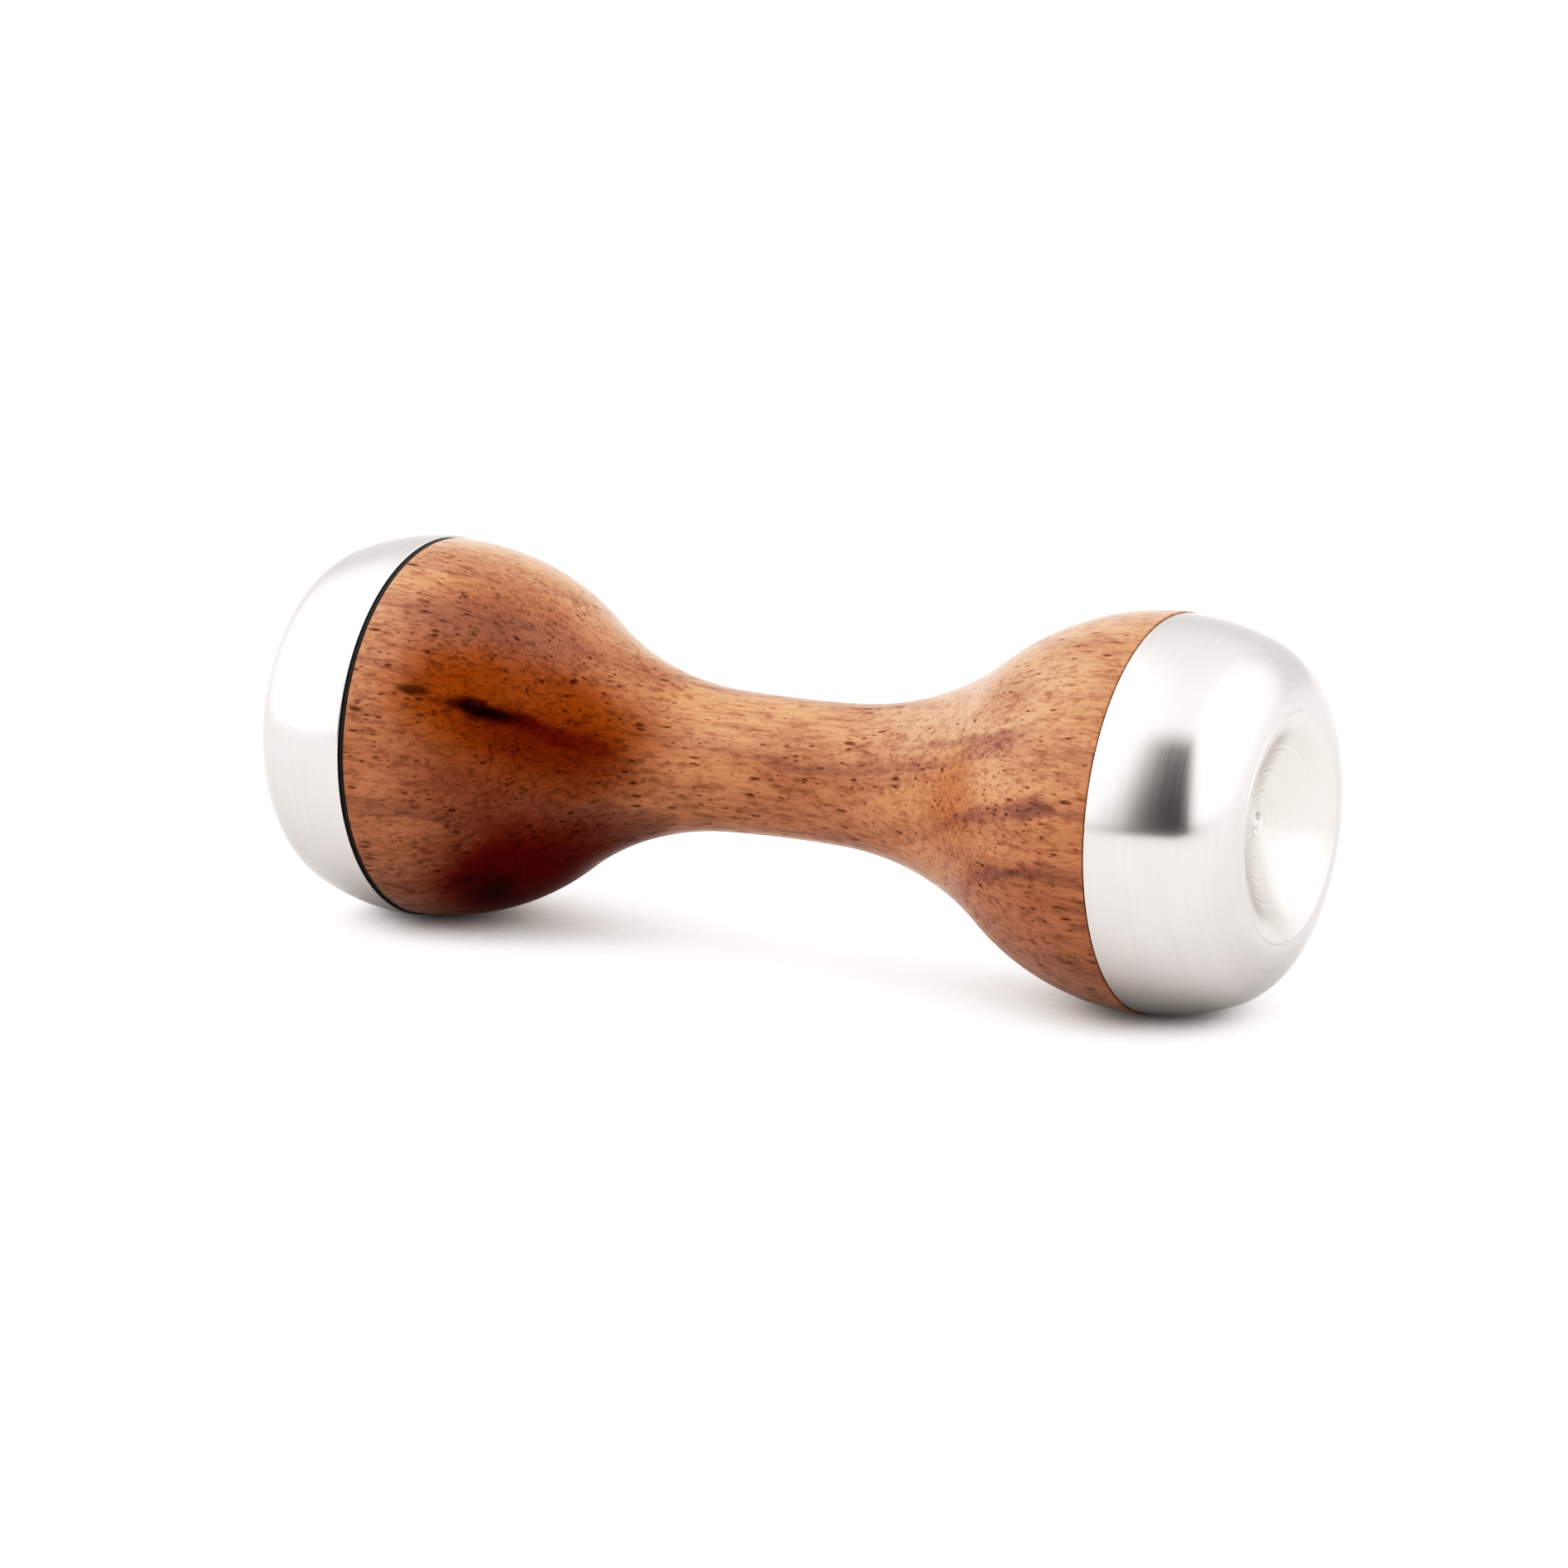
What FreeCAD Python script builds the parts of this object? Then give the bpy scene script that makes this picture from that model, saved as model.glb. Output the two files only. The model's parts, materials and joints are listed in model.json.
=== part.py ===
import FreeCAD, Part
import os
import Sketcher

# Espresso tamper lying on its side: a turned wooden handle between two rounded steel caps.
#
# Row frame, in millimetres: +X runs along the axis from the tamping base to the thumb cap,
# +Z is up, and the origin is on the axis, midway between the two metal end faces.
#
# Every end part is drawn in an "end frame", where x runs outward from the middle of the
# tamper and the sketch's vertical is the radius. The thumb end uses that frame as it is, and
# the base end is the same frame turned half a turn about Z.

SIZES = (
    # Shared outline
    ("end_radius", 20.0, "radius of handle, gasket and caps where they meet"),
    ("metal_spacing", 84.0, "distance between the seam faces of the two caps"),
    ("edge_break", 0.12, "chamfer on the edges at the seams"),
    # Handle: waist arc, hollow arc and bulb arc, each tangent to the next
    ("neck_radius", 7.17, "handle radius at its slimmest"),
    ("waist_radius", 145.0, "long arc along the neck"),
    ("hollow_radius", 31.3, "concave arc between neck and bulb"),
    ("bulb_radius", 27.2, "convex arc that ends level at the seam"),
    ("recess_radius", 14.0, "shallow recess that takes a cap's spigot"),
    ("recess_depth", 2.2, "depth of that recess from the handle's end"),
    ("pocket_radius", 6.05, "bore for a threaded insert"),
    ("pocket_depth", 20.5, "depth of that bore from the handle's end"),
    ("flange_pocket_radius", 8.1, "counterbore for the insert's flange"),
    # Gasket
    ("gasket_thickness", 0.5, "ring between handle and tamping base"),
    ("gasket_inset", 0.25, "how far the ring sits below the surface"),
    # Caps
    ("cap_length", 13.0, "seam face to end face"),
    ("cap_side_radius", 22.5, "arc of the cap's side, level at the seam"),
    ("cap_corner_radius", 7.1, "arc from the side round to the end face"),
    ("spigot_radius", 13.8, "locating spigot on the seam face"),
    ("spigot_length", 2.0, "height of that spigot"),
    ("mouth_chamfer", 0.6, "chamfer at the mouth of a threaded hole"),
    ("drill_point", 1.6, "cone at the bottom of a blind hole"),
    ("base_hole_depth", 11.2, "tapped hole in the base, from the spigot"),
    ("cap_hole_depth", 8.2, "tapped hole in the thumb cap, from the spigot"),
    # Thumb dish
    ("dish_rim_radius", 11.4, "where the dish begins on the end face"),
    ("dish_band_width", 1.4, "bevelled band inside the rim"),
    ("dish_band_depth", 0.35, "drop of that band"),
    ("dish_radius", 17.0, "sphere of the dish"),
    ("nib_radius", 0.55, "turning nib left in the centre"),
    ("nib_height", 0.25, "height of that nib"),
    # Threaded inserts
    ("insert_length", 16.0, "length of a brass insert"),
    ("insert_radius", 6.0, "body of the insert"),
    ("flange_radius", 8.0, "flange of the insert"),
    ("flange_thickness", 1.2, "thickness of the flange"),
    ("glue_groove_depth", 0.5, "grooves that key the insert into the glue"),
    ("glue_groove_width", 1.6, "width of each groove"),
    ("glue_groove_spacing", 4.0, "distance from groove to groove"),
    ("spanner_hole_radius", 0.7, "two holes in the flange for a pin spanner"),
    ("spanner_hole_circle", 6.0, "radius of the circle they sit on"),
    ("spanner_hole_depth", 1.0, "depth of those holes"),
    # Studs and their M8 x 1.25 thread
    ("stud_length", 25.0, "headless stud"),
    ("base_stud_start", 26.0, "inner end of the base's stud"),
    ("cap_stud_start", 22.25, "inner end of the thumb cap's stud"),
    ("stud_core_radius", 3.2, "root of the stud's thread"),
    ("stud_crest_radius", 3.92, "crest of the stud's thread"),
    ("hole_wall_radius", 3.35, "crest of the thread in a hole"),
    ("hole_root_radius", 4.08, "root of the thread in a hole"),
    ("thread_pitch", 1.25, "advance of the thread in one turn"),
    ("thread_pitch_radius", 3.594, "where ridge and groove are equally wide"),
    ("thread_flank_slope", 0.577, "tangent of half the sixty degree thread angle"),
    ("thread_play", 0.05, "added to a groove and taken off a ridge, each side"),
    ("thread_inset", 1.5, "plain length before the stud's first turn"),
    ("stud_chamfer", 0.6, "chamfer at each end of the stud"),
    ("socket_flats", 4.0, "hexagon socket across its flats"),
    ("socket_depth", 4.5, "depth of the hexagon socket"),
)

doc = FreeCAD.newDocument("EspressoTamper")
sheet = doc.addObject("Spreadsheet::Sheet", "Sizes")
for number, (alias, millimetres, meaning) in enumerate(SIZES, start=1):
    sheet.set("A%d" % number, meaning)
    sheet.set("B%d" % number, str(millimetres))
    sheet.setAlias("B%d" % number, alias)
doc.recompute()

ALIASES = {alias for alias, millimetres, meaning in SIZES}

# Places along the axis, in the end frame, as formulas of the sheet's cells.
SEAM = "metal_spacing / 2"
SPIGOT_END = "metal_spacing / 2 - spigot_length"
CAP_END = "metal_spacing / 2 + cap_length"
CAP_HANDLE_END = "metal_spacing / 2"
BASE_HANDLE_END = "metal_spacing / 2 - gasket_thickness"
HANDLE_HALF_LENGTH = "(metal_spacing - gasket_thickness) / 2"

# Ends of a sketch segment, as the sketcher numbers them.
START, END, CENTRE = 1, 2, 3
HORIZONTAL_AXIS, VERTICAL_AXIS = -1, -2


def bound(formula):
    """The formula with each cell name written as a reference to the sheet."""
    words = formula.replace("(", "( ").replace(")", " )").split()
    return " ".join("Sizes." + word if word in ALIASES else word for word in words)


def size(formula):
    """The formula's present value in millimetres."""
    return float(sheet.evalExpression(bound(formula)))


# Sketch helpers


def origin_plane(body, role):
    """One of the body's own origin planes."""
    return [plane for plane in body.Origin.OriginFeatures if plane.Role == role][0]


def new_sketch(body, name, role="XZ_Plane"):
    """A sketch on an origin plane; XZ puts the axis across and the radius up."""
    sketch = body.newObject("Sketcher::SketchObject", name)
    sketch.AttachmentSupport = [(origin_plane(body, role), "")]
    sketch.MapMode = "FlatFace"
    return sketch


def point(along, radius):
    """A sketch point from two formulas."""
    return FreeCAD.Vector(size(along), size(radius), 0)


def toward(first, second):
    """Unit vector from the first point to the second."""
    return (second - first).normalize()


def meeting_point(first, first_radius, second, second_radius):
    """Where two circles meet, on the right of the line from the first centre to the second."""
    gap = (second - first).Length
    along = (gap ** 2 + first_radius ** 2 - second_radius ** 2) / (2 * gap)
    across = (first_radius ** 2 - along ** 2) ** 0.5
    direction = toward(first, second)
    right = FreeCAD.Vector(direction.y, -direction.x, 0)
    return first + direction * along + right * across


def add_line(sketch, first, second):
    return sketch.addGeometry(Part.LineSegment(first, second), False)


def add_arc(sketch, centre, radius, first, second):
    """An arc that runs anticlockwise from the direction of first to that of second."""
    circle = Part.Circle(centre, FreeCAD.Vector(0, 0, 1), radius)
    arc = Part.ArcOfCircle(circle, circle.parameter(first), circle.parameter(second))
    return sketch.addGeometry(arc, False)


def join(sketch, first, first_end, second, second_end):
    sketch.addConstraint(Sketcher.Constraint("Coincident", first, first_end, second, second_end))


def smooth(sketch, first, first_end, second, second_end):
    """Two segments meet end to end and tangent."""
    sketch.addConstraint(Sketcher.Constraint("Tangent", first, first_end, second, second_end))


def bind(sketch, constraint, formula):
    """Add a dimension and tie it to the sheet."""
    index = sketch.addConstraint(constraint)
    sketch.setExpression("Constraints[%d]" % index, bound(formula))


def pin_along(sketch, segment, end, along):
    """Hold a point's distance along the axis."""
    if size(along) == 0:
        sketch.addConstraint(Sketcher.Constraint("PointOnObject", segment, end, VERTICAL_AXIS))
        return
    distance = Sketcher.Constraint("DistanceX", -1, 1, segment, end, size(along))
    bind(sketch, distance, along)


def pin_radius(sketch, segment, end, radius):
    """Hold a point's distance from the axis."""
    if size(radius) == 0:
        sketch.addConstraint(Sketcher.Constraint("PointOnObject", segment, end, HORIZONTAL_AXIS))
        return
    distance = Sketcher.Constraint("DistanceY", -1, 1, segment, end, size(radius))
    bind(sketch, distance, radius)


def bind_radius(sketch, curve, radius):
    bind(sketch, Sketcher.Constraint("Radius", curve, size(radius)), radius)


def add_path(sketch, corners):
    """Lines through corners, each a pair of formulas; the lines are held by their starts."""
    points = [point(along, radius) for along, radius in corners]
    lines = [add_line(sketch, *pair) for pair in zip(points, points[1:])]
    for line, next_line in zip(lines, lines[1:]):
        join(sketch, line, END, next_line, START)
    for line, (along, radius) in zip(lines, corners):
        pin_along(sketch, line, START, along)
        pin_radius(sketch, line, START, radius)
    return lines


def closed_outline(sketch, corners):
    """A closed outline of straight lines."""
    lines = add_path(sketch, corners + corners[:1])
    join(sketch, lines[-1], END, lines[0], START)


# Feature helpers


def new_body(name):
    body = doc.addObject("PartDesign::Body", name)
    body.Label = name
    return body


def add_feature(body, kind, name, profile, settings):
    """A sketch-based feature; it must change the body's volume the way its kind says."""
    before = body.Shape.Volume if body.Shape and body.Shape.Solids else 0.0
    feature = body.newObject(kind, name)
    feature.Profile = profile
    for key, value in settings.items():
        setattr(feature, key, value)
    doc.recompute()
    change = feature.Shape.Volume - before
    removes = kind.split("::")[1] in ("Groove", "Pocket", "Hole", "SubtractiveHelix")
    if (change >= 0) if removes else (change <= 0):
        raise RuntimeError("%s changed nothing" % name)
    return feature


def revolve(body, name, sketch):
    settings = {"ReferenceAxis": (sketch, ["H_Axis"]), "Angle": 360}
    return add_feature(body, "PartDesign::Revolution", name, sketch, settings)


def turn_away(body, name, sketch):
    settings = {"ReferenceAxis": (sketch, ["H_Axis"]), "Angle": 360}
    return add_feature(body, "PartDesign::Groove", name, sketch, settings)


def mirror_across_middle(body, name, originals):
    """Repeat features on the other side of the body's YZ plane."""
    mirrored = body.newObject("PartDesign::Mirrored", name)
    mirrored.Originals = originals
    mirrored.MirrorPlane = (origin_plane(body, "YZ_Plane"), [""])
    body.Tip = mirrored
    doc.recompute()


def thread(body, name, kind, first_turn, turns, inner, outer, play):
    """A helical ridge or groove between two radii; the thread angle sets its flanks."""
    sketch = new_sketch(body, name + "_profile")
    half_width = "(thread_pitch / 4 - (%s - thread_pitch_radius) * thread_flank_slope %s)"
    inner_half = half_width % (inner, play)
    outer_half = half_width % (outer, play)
    closed_outline(sketch, [
        ("%s - %s" % (first_turn, inner_half), inner),
        ("%s - %s" % (first_turn, outer_half), outer),
        ("%s + %s" % (first_turn, outer_half), outer),
        ("%s + %s" % (first_turn, inner_half), inner),
    ])
    pitch = size("thread_pitch")
    settings = {
        "ReferenceAxis": (sketch, ["H_Axis"]),
        "Mode": "pitch-height-angle",
        "Pitch": pitch,
        "Height": pitch * turns,
    }
    helix = add_feature(body, kind, name, sketch, settings)
    helix.setExpression("Pitch", bound("thread_pitch"))
    helix.setExpression("Height", bound("thread_pitch * %d" % turns))
    doc.recompute()
    return helix


def ridge_thread(body, name, first_turn, turns):
    thread(body, name, "PartDesign::AdditiveHelix", first_turn, turns,
           "(stud_core_radius - thread_play)", "stud_crest_radius", "- thread_play")


def groove_thread(body, name, first_turn, turns):
    thread(body, name, "PartDesign::SubtractiveHelix", first_turn, turns,
           "(hole_wall_radius - thread_play)", "hole_root_radius", "+ thread_play")


# Every thread has a turn centred on a whole number of pitches from the middle of the tamper,
# so that ridges and grooves on one axis are in mesh.
PITCHES_TO_HOLE_THREAD = 31
PITCHES_TO_INSERT_THREAD = 18
INSERT_TURNS = 15
STUD_TURNS = 18
BASE_HOLE_TURNS = 10
CAP_HOLE_TURNS = 7


# Sub-parts


def wood_handle():
    """Turned handle: two equal bulbs on a slim neck, bored at both ends for the inserts.

    It is drawn about its own middle, and one half is mirrored to make the other.
    """
    body = new_body("wood_handle")
    half = HANDLE_HALF_LENGTH
    shoulder = half + " - edge_break"
    sketch = new_sketch(body, "handle_outline")
    origin = point("0", "0")
    bulb_end = point(shoulder, "end_radius")
    rim = point(half, "end_radius - edge_break")
    waist_centre = point("0", "neck_radius + waist_radius")
    bulb_centre = point(shoulder, "end_radius - bulb_radius")

    # The hollow arc touches the waist arc from inside and the bulb arc from outside.
    hollow = size("hollow_radius")
    hollow_centre = meeting_point(waist_centre, size("waist_radius") - hollow,
                                  bulb_centre, size("bulb_radius") + hollow)
    waist_end = waist_centre + toward(waist_centre, hollow_centre) * size("waist_radius")
    bulb_start = hollow_centre + toward(hollow_centre, bulb_centre) * hollow

    waist = add_arc(sketch, waist_centre, size("waist_radius"), point("0", "neck_radius"), waist_end)
    valley = add_arc(sketch, hollow_centre, hollow, waist_end, bulb_start)
    bulb = add_arc(sketch, bulb_centre, size("bulb_radius"), bulb_end, bulb_start)
    chamfer = add_line(sketch, bulb_end, rim)
    face = add_line(sketch, rim, point(half, "0"))
    axis = add_line(sketch, point(half, "0"), origin)
    middle = add_line(sketch, origin, point("0", "neck_radius"))

    smooth(sketch, waist, END, valley, START)
    smooth(sketch, valley, END, bulb, END)
    join(sketch, bulb, START, chamfer, START)
    join(sketch, chamfer, END, face, START)
    join(sketch, face, END, axis, START)
    join(sketch, axis, END, middle, START)
    join(sketch, middle, END, waist, START)
    pin_along(sketch, axis, END, "0")
    pin_radius(sketch, axis, END, "0")
    pin_along(sketch, middle, END, "0")
    pin_radius(sketch, middle, END, "neck_radius")
    sketch.addConstraint(Sketcher.Constraint("PointOnObject", waist, CENTRE, VERTICAL_AXIS))
    pin_along(sketch, chamfer, START, shoulder)
    pin_radius(sketch, chamfer, START, "end_radius")
    pin_along(sketch, face, START, half)
    pin_radius(sketch, face, START, "end_radius - edge_break")
    pin_along(sketch, face, END, half)
    pin_radius(sketch, face, END, "0")
    sketch.addConstraint(Sketcher.Constraint("Vertical", bulb, CENTRE, bulb, START))
    bind_radius(sketch, waist, "waist_radius")
    bind_radius(sketch, valley, "hollow_radius")
    bind_radius(sketch, bulb, "bulb_radius")
    blank = revolve(body, "handle_half", sketch)

    bores = new_sketch(body, "end_bores")
    closed_outline(bores, [
        (half, "0"),
        (half, "recess_radius"),
        (half + " - recess_depth", "recess_radius"),
        (half + " - recess_depth", "flange_pocket_radius"),
        (half + " - recess_depth - flange_thickness", "flange_pocket_radius"),
        (half + " - recess_depth - flange_thickness", "pocket_radius"),
        (half + " - pocket_depth", "pocket_radius"),
        (half + " - pocket_depth", "0"),
    ])
    bore = turn_away(body, "insert_bore", bores)
    mirror_across_middle(body, "other_half", [blank, bore])
    body.setExpression("Placement.Base.x", bound("gasket_thickness / 2"))
    return body


def cap_outline(body, name, hole_depth, end_face):
    """Outline of a steel cap, from its tapped hole round the outside to its end face.

    end_face lists the corners from the rounded corner in to the axis.
    """
    sketch = new_sketch(body, name)
    shoulder = SEAM + " + edge_break"
    hole_end = "%s + %s" % (SPIGOT_END, hole_depth)
    inside = add_path(sketch, [
        (hole_end + " + drill_point", "0"),
        (hole_end, "hole_wall_radius"),
        (SPIGOT_END + " + mouth_chamfer", "hole_wall_radius"),
        (SPIGOT_END, "hole_wall_radius + mouth_chamfer"),
        (SPIGOT_END, "spigot_radius"),
        (SEAM, "spigot_radius"),
        (SEAM, "end_radius - edge_break"),
        (shoulder, "end_radius"),
    ])
    side_centre = point(shoulder, "end_radius - cap_side_radius")
    corner_along = size("cap_length - edge_break - cap_corner_radius")
    corner_rise = (size("cap_side_radius - cap_corner_radius") ** 2 - corner_along ** 2) ** 0.5
    corner_centre = side_centre + FreeCAD.Vector(corner_along, corner_rise, 0)
    corner_start = corner_centre + toward(side_centre, corner_centre) * size("cap_corner_radius")
    corner_end = corner_centre + FreeCAD.Vector(size("cap_corner_radius"), 0, 0)

    side = add_arc(sketch, side_centre, size("cap_side_radius"), corner_start,
                   point(shoulder, "end_radius"))
    corner = add_arc(sketch, corner_centre, size("cap_corner_radius"), corner_end, corner_start)
    land = add_line(sketch, corner_end, point(*end_face[0]))
    join(sketch, inside[-1], END, side, END)
    pin_along(sketch, side, END, shoulder)
    pin_radius(sketch, side, END, "end_radius")
    sketch.addConstraint(Sketcher.Constraint("Vertical", side, CENTRE, side, END))
    bind_radius(sketch, side, "cap_side_radius")
    smooth(sketch, side, START, corner, END)
    bind_radius(sketch, corner, "cap_corner_radius")
    smooth(sketch, corner, START, land, START)
    sketch.addConstraint(Sketcher.Constraint("Vertical", land))
    pin_along(sketch, land, END, end_face[0][0])
    pin_radius(sketch, land, END, end_face[0][1])
    return sketch, inside[0], land


def tamping_base():
    """Solid steel cap with a flat tamping face and a tapped hole for its stud."""
    body = new_body("tamping_base")
    sketch, first, land = cap_outline(body, "base_outline", "base_hole_depth", [(CAP_END, "0")])
    centre = add_line(sketch, point(CAP_END, "0"),
                      point(SPIGOT_END + " + base_hole_depth + drill_point", "0"))
    join(sketch, land, END, centre, START)
    join(sketch, centre, END, first, START)
    revolve(body, "base_blank", sketch)
    groove_thread(body, "base_hole_thread", "thread_pitch * %d" % PITCHES_TO_HOLE_THREAD,
                  BASE_HOLE_TURNS)
    return body


def thumb_cap():
    """Solid steel cap with a dished end: a bevelled band, a sphere and a small nib."""
    body = new_body("thumb_cap")
    rim = (CAP_END, "dish_rim_radius")
    sketch, first, land = cap_outline(body, "cap_outline", "cap_hole_depth", [rim])
    band_end = (CAP_END + " - dish_band_depth", "dish_rim_radius - dish_band_width")
    dish_top = point(*band_end)
    dish_centre_along = dish_top.x + (size("dish_radius") ** 2 - dish_top.y ** 2) ** 0.5
    dish_centre = FreeCAD.Vector(dish_centre_along, 0, 0)
    nib_foot_drop = (size("dish_radius") ** 2 - size("nib_radius") ** 2) ** 0.5
    nib_foot = FreeCAD.Vector(dish_centre_along - nib_foot_drop, size("nib_radius"), 0)
    nib_tip = FreeCAD.Vector(nib_foot.x + size("nib_height"), 0, 0)

    band = add_line(sketch, point(*rim), dish_top)
    dish = add_arc(sketch, dish_centre, size("dish_radius"), dish_top, nib_foot)
    nib = add_line(sketch, nib_foot, nib_tip)
    centre = add_line(sketch, nib_tip, point(SPIGOT_END + " + cap_hole_depth + drill_point", "0"))
    join(sketch, land, END, band, START)
    join(sketch, band, END, dish, START)
    pin_along(sketch, dish, START, band_end[0])
    pin_radius(sketch, dish, START, band_end[1])
    bind_radius(sketch, dish, "dish_radius")
    sketch.addConstraint(Sketcher.Constraint("PointOnObject", dish, CENTRE, HORIZONTAL_AXIS))
    join(sketch, dish, END, nib, START)
    pin_radius(sketch, nib, START, "nib_radius")
    height = Sketcher.Constraint("DistanceX", nib, START, nib, END, size("nib_height"))
    bind(sketch, height, "nib_height")
    join(sketch, nib, END, centre, START)
    pin_radius(sketch, centre, START, "0")
    join(sketch, centre, END, first, START)
    revolve(body, "cap_blank", sketch)
    groove_thread(body, "cap_hole_thread", "thread_pitch * %d" % PITCHES_TO_HOLE_THREAD,
                  CAP_HOLE_TURNS)
    return body


def base_gasket():
    """Flat ring in the seam between the handle and the tamping base, round the spigot."""
    body = new_body("base_gasket")
    sketch = new_sketch(body, "gasket_outline")
    closed_outline(sketch, [
        (BASE_HANDLE_END, "recess_radius"),
        (BASE_HANDLE_END, "end_radius - gasket_inset"),
        (SEAM, "end_radius - gasket_inset"),
        (SEAM, "recess_radius"),
    ])
    revolve(body, "gasket_ring", sketch)
    return body


def threaded_insert(name, handle_end):
    """Brass insert glued into the handle, its flange flush with the recess floor."""
    body = new_body(name)
    mouth = "%s - recess_depth" % handle_end
    back = "%s - insert_length" % mouth
    sketch = new_sketch(body, name + "_outline")
    closed_outline(sketch, [
        (back, "hole_wall_radius"),
        (back, "insert_radius"),
        (mouth + " - flange_thickness", "insert_radius"),
        (mouth + " - flange_thickness", "flange_radius"),
        (mouth, "flange_radius"),
        (mouth, "hole_wall_radius + mouth_chamfer"),
        (mouth + " - mouth_chamfer", "hole_wall_radius"),
    ])
    revolve(body, name + "_blank", sketch)

    keys = new_sketch(body, name + "_glue_groove_outline")
    closed_outline(keys, [
        (back + " + glue_groove_width", "insert_radius - glue_groove_depth"),
        (back + " + glue_groove_width", "insert_radius + glue_groove_depth"),
        (back + " + glue_groove_width * 2", "insert_radius + glue_groove_depth"),
        (back + " + glue_groove_width * 2", "insert_radius - glue_groove_depth"),
    ])
    groove = turn_away(body, name + "_glue_groove", keys)
    row = body.newObject("PartDesign::LinearPattern", name + "_glue_grooves")
    row.Originals = [groove]
    row.Direction = (keys, ["H_Axis"])
    row.Occurrences = 3
    row.setExpression("Length", bound("glue_groove_spacing * 2"))
    body.Tip = row
    doc.recompute()

    pin_hole = new_sketch(body, name + "_spanner_hole_outline", "YZ_Plane")
    pin_hole.setExpression("AttachmentOffset.Base.z", bound(mouth))
    circle = Part.Circle(FreeCAD.Vector(size("spanner_hole_circle"), 0, 0),
                         FreeCAD.Vector(0, 0, 1), size("spanner_hole_radius"))
    ring = pin_hole.addGeometry(circle, False)
    bind_radius(pin_hole, ring, "spanner_hole_radius")
    pin_along(pin_hole, ring, CENTRE, "spanner_hole_circle")
    pin_radius(pin_hole, ring, CENTRE, "0")
    doc.recompute()
    pocket = add_feature(body, "PartDesign::Pocket", name + "_spanner_hole", pin_hole,
                         {"Length": size("spanner_hole_depth")})
    pocket.setExpression("Length", bound("spanner_hole_depth"))
    pair = body.newObject("PartDesign::PolarPattern", name + "_spanner_holes")
    pair.Originals = [pocket]
    pair.Axis = (keys, ["H_Axis"])
    pair.Angle = 360
    pair.Occurrences = 2
    body.Tip = pair
    doc.recompute()

    groove_thread(body, name + "_thread", "thread_pitch * %d" % PITCHES_TO_INSERT_THREAD,
                  INSERT_TURNS)
    return body


def threaded_stud(name, inner_end):
    """Headless stud with a hexagon socket in its inner end."""
    body = new_body(name)
    outer_end = "%s + stud_length" % inner_end
    sketch = new_sketch(body, name + "_outline")
    closed_outline(sketch, [
        (inner_end, "0"),
        (inner_end, "stud_core_radius - stud_chamfer"),
        (inner_end + " + stud_chamfer", "stud_core_radius"),
        (outer_end + " - stud_chamfer", "stud_core_radius"),
        (outer_end, "stud_core_radius - stud_chamfer"),
        (outer_end, "0"),
    ])
    revolve(body, name + "_core", sketch)

    hexagon = new_sketch(body, name + "_socket_outline", "YZ_Plane")
    hexagon.setExpression("AttachmentOffset.Base.z", bound(inner_end))
    corner_radius = size("socket_flats") / 3 ** 0.5
    turn = FreeCAD.Rotation(FreeCAD.Vector(0, 0, 1), 60)
    corners = [FreeCAD.Vector(corner_radius, 0, 0)]
    for _ in range(5):
        corners.append(turn.multVec(corners[-1]))
    sides = [add_line(hexagon, *pair) for pair in zip(corners, corners[1:] + corners[:1])]
    guide = hexagon.addGeometry(Part.Circle(FreeCAD.Vector(), FreeCAD.Vector(0, 0, 1),
                                            corner_radius), True)
    hexagon.addConstraint(Sketcher.Constraint("Coincident", guide, CENTRE, -1, 1))
    bind(hexagon, Sketcher.Constraint("Radius", guide, corner_radius),
         "socket_flats / 1.732")
    for side, next_side in zip(sides, sides[1:] + sides[:1]):
        join(hexagon, side, END, next_side, START)
        hexagon.addConstraint(Sketcher.Constraint("PointOnObject", side, START, guide))
    for side in sides[1:]:
        hexagon.addConstraint(Sketcher.Constraint("Equal", sides[0], side))
    pin_radius(hexagon, sides[0], START, "0")
    doc.recompute()
    socket = add_feature(body, "PartDesign::Pocket", name + "_socket", hexagon,
                         {"Length": size("socket_depth"), "Reversed": True})
    socket.setExpression("Length", bound("socket_depth"))

    ridge_thread(body, name + "_thread", "(%s + thread_inset)" % inner_end, STUD_TURNS)
    return body


def turn_to_base_end(body):
    """Half a turn about Z takes the end frame to the base end of the tamper."""
    half_turn = FreeCAD.Rotation(FreeCAD.Vector(0, 0, 1), 180)
    body.Placement = FreeCAD.Placement(FreeCAD.Vector(), half_turn)
    return body


nodes = [
    wood_handle(),
    thumb_cap(),
    threaded_insert("cap_insert", CAP_HANDLE_END),
    threaded_stud("cap_stud", "cap_stud_start"),
    turn_to_base_end(tamping_base()),
    turn_to_base_end(base_gasket()),
    turn_to_base_end(threaded_insert("base_insert", BASE_HANDLE_END)),
    turn_to_base_end(threaded_stud("base_stud", "base_stud_start")),
]

doc.recompute()
for thing in doc.Objects:
    if "Invalid" in thing.State or "Error" in thing.State:
        raise RuntimeError("%s failed: %s" % (thing.Name, thing.State))
for node in nodes:
    if node.Shape.isNull() or not node.Shape.isValid() or len(node.Shape.Solids) != 1:
        raise RuntimeError("%s has no valid single solid" % node.Label)

os.makedirs("parts", exist_ok=True)
for node in nodes:
    node.Shape.exportStep("parts/%s.step" % node.Label)
    print("%-14s %10.1f mm3" % (node.Label, node.Shape.Volume))
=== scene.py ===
import json
import math
from collections import namedtuple

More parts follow.
